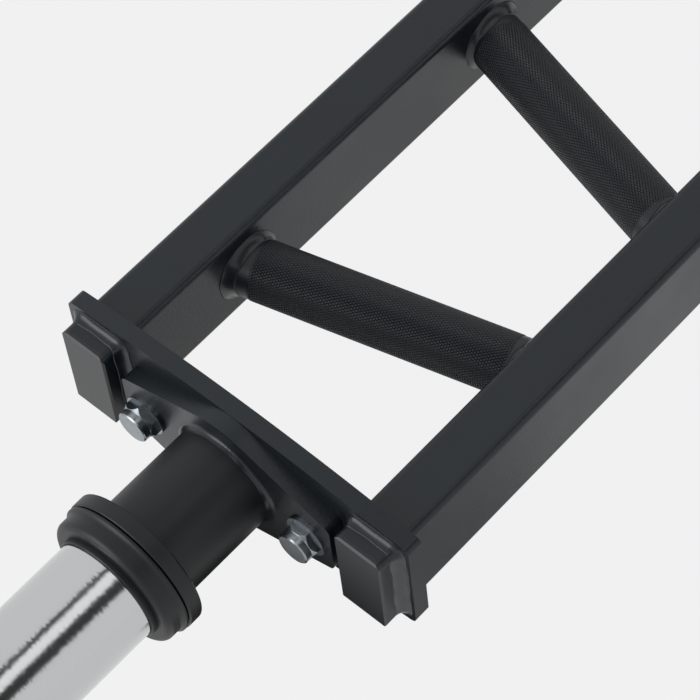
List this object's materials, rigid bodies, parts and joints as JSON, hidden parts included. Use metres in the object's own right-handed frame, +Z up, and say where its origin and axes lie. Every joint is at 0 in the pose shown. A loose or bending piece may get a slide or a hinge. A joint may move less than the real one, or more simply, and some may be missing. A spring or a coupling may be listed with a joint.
{
  "type": "swiss bar",
  "caption": "Multi-grip barbell: two flat rails joined by leaning knurled handles, with end plates and revolving chrome sleeves.",
  "frame": {"origin": "the bar's centre, on the axis of both sleeves", "axes": "+X along the bar from the left sleeve to the right one, +Y from the front rail to the rear rail, +Z up"},
  "size_m": [2.1684, 0.192, 0.0692],
  "materials": {
    "black_coat": "satin",
    "knurled_coat": "satin, knurled",
    "weld": "satin",
    "black_plastic": "matte",
    "zinc": "zinc plated",
    "chrome": "polished",
    "steel": "turned",
    "bronze": "turned"
  },
  "bodies": {
    "frame": {"front_rail": "black_coat", "rear_rail": "black_coat", "left_end_plate": "black_coat", "right_end_plate": "black_coat", "left_grip_widest": "knurled_coat", "left_grip_wide": "knurled_coat", "left_grip_narrow": "knurled_coat", "left_grip_narrowest": "knurled_coat", "right_grip_widest": "knurled_coat", "right_grip_wide": "knurled_coat", "right_grip_narrow": "knurled_coat", "right_grip_narrowest": "knurled_coat", "front_grip_welds": "weld", "rear_grip_welds": "weld", "left_stub_welds": "weld", "right_stub_welds": "weld", "left_front_cap": "black_plastic", "left_rear_cap": "black_plastic", "right_front_cap": "black_plastic", "right_rear_cap": "black_plastic", "left_flange": "black_coat", "right_flange": "black_coat", "left_flange_bolts": "zinc", "right_flange_bolts": "zinc", "left_flange_washers": "zinc", "right_flange_washers": "zinc", "left_flange_nuts": "zinc", "right_flange_nuts": "zinc", "left_spigot_tube": "black_coat", "right_spigot_tube": "black_coat", "left_spigot_weld": "weld", "right_spigot_weld": "weld", "left_fixed_collar": "black_coat", "right_fixed_collar": "black_coat", "left_shaft": "steel", "right_shaft": "steel", "left_retaining_washer": "steel", "right_retaining_washer": "steel", "left_retaining_ring": "steel", "right_retaining_ring": "steel"},
    "left_revolving_sleeve": {"left_sleeve": "chrome", "left_sleeve_collar": "black_coat", "left_thrust_washer": "bronze", "left_inner_bush": "bronze", "left_outer_bush": "bronze", "left_end_plug": "chrome"},
    "right_revolving_sleeve": {"right_sleeve": "chrome", "right_sleeve_collar": "black_coat", "right_thrust_washer": "bronze", "right_inner_bush": "bronze", "right_outer_bush": "bronze", "right_end_plug": "chrome"}
  },
  "joints": [
    {"name": "left_sleeve_spin", "type": "hinge", "parent": "frame", "child": "left_revolving_sleeve", "pos_m": [-0.655, 0, 0], "axis": [1, 0, 0], "continuous": true},
    {"name": "right_sleeve_spin", "type": "hinge", "parent": "frame", "child": "right_revolving_sleeve", "pos_m": [0.655, 0, 0], "axis": [1, 0, 0], "continuous": true}
  ]
}
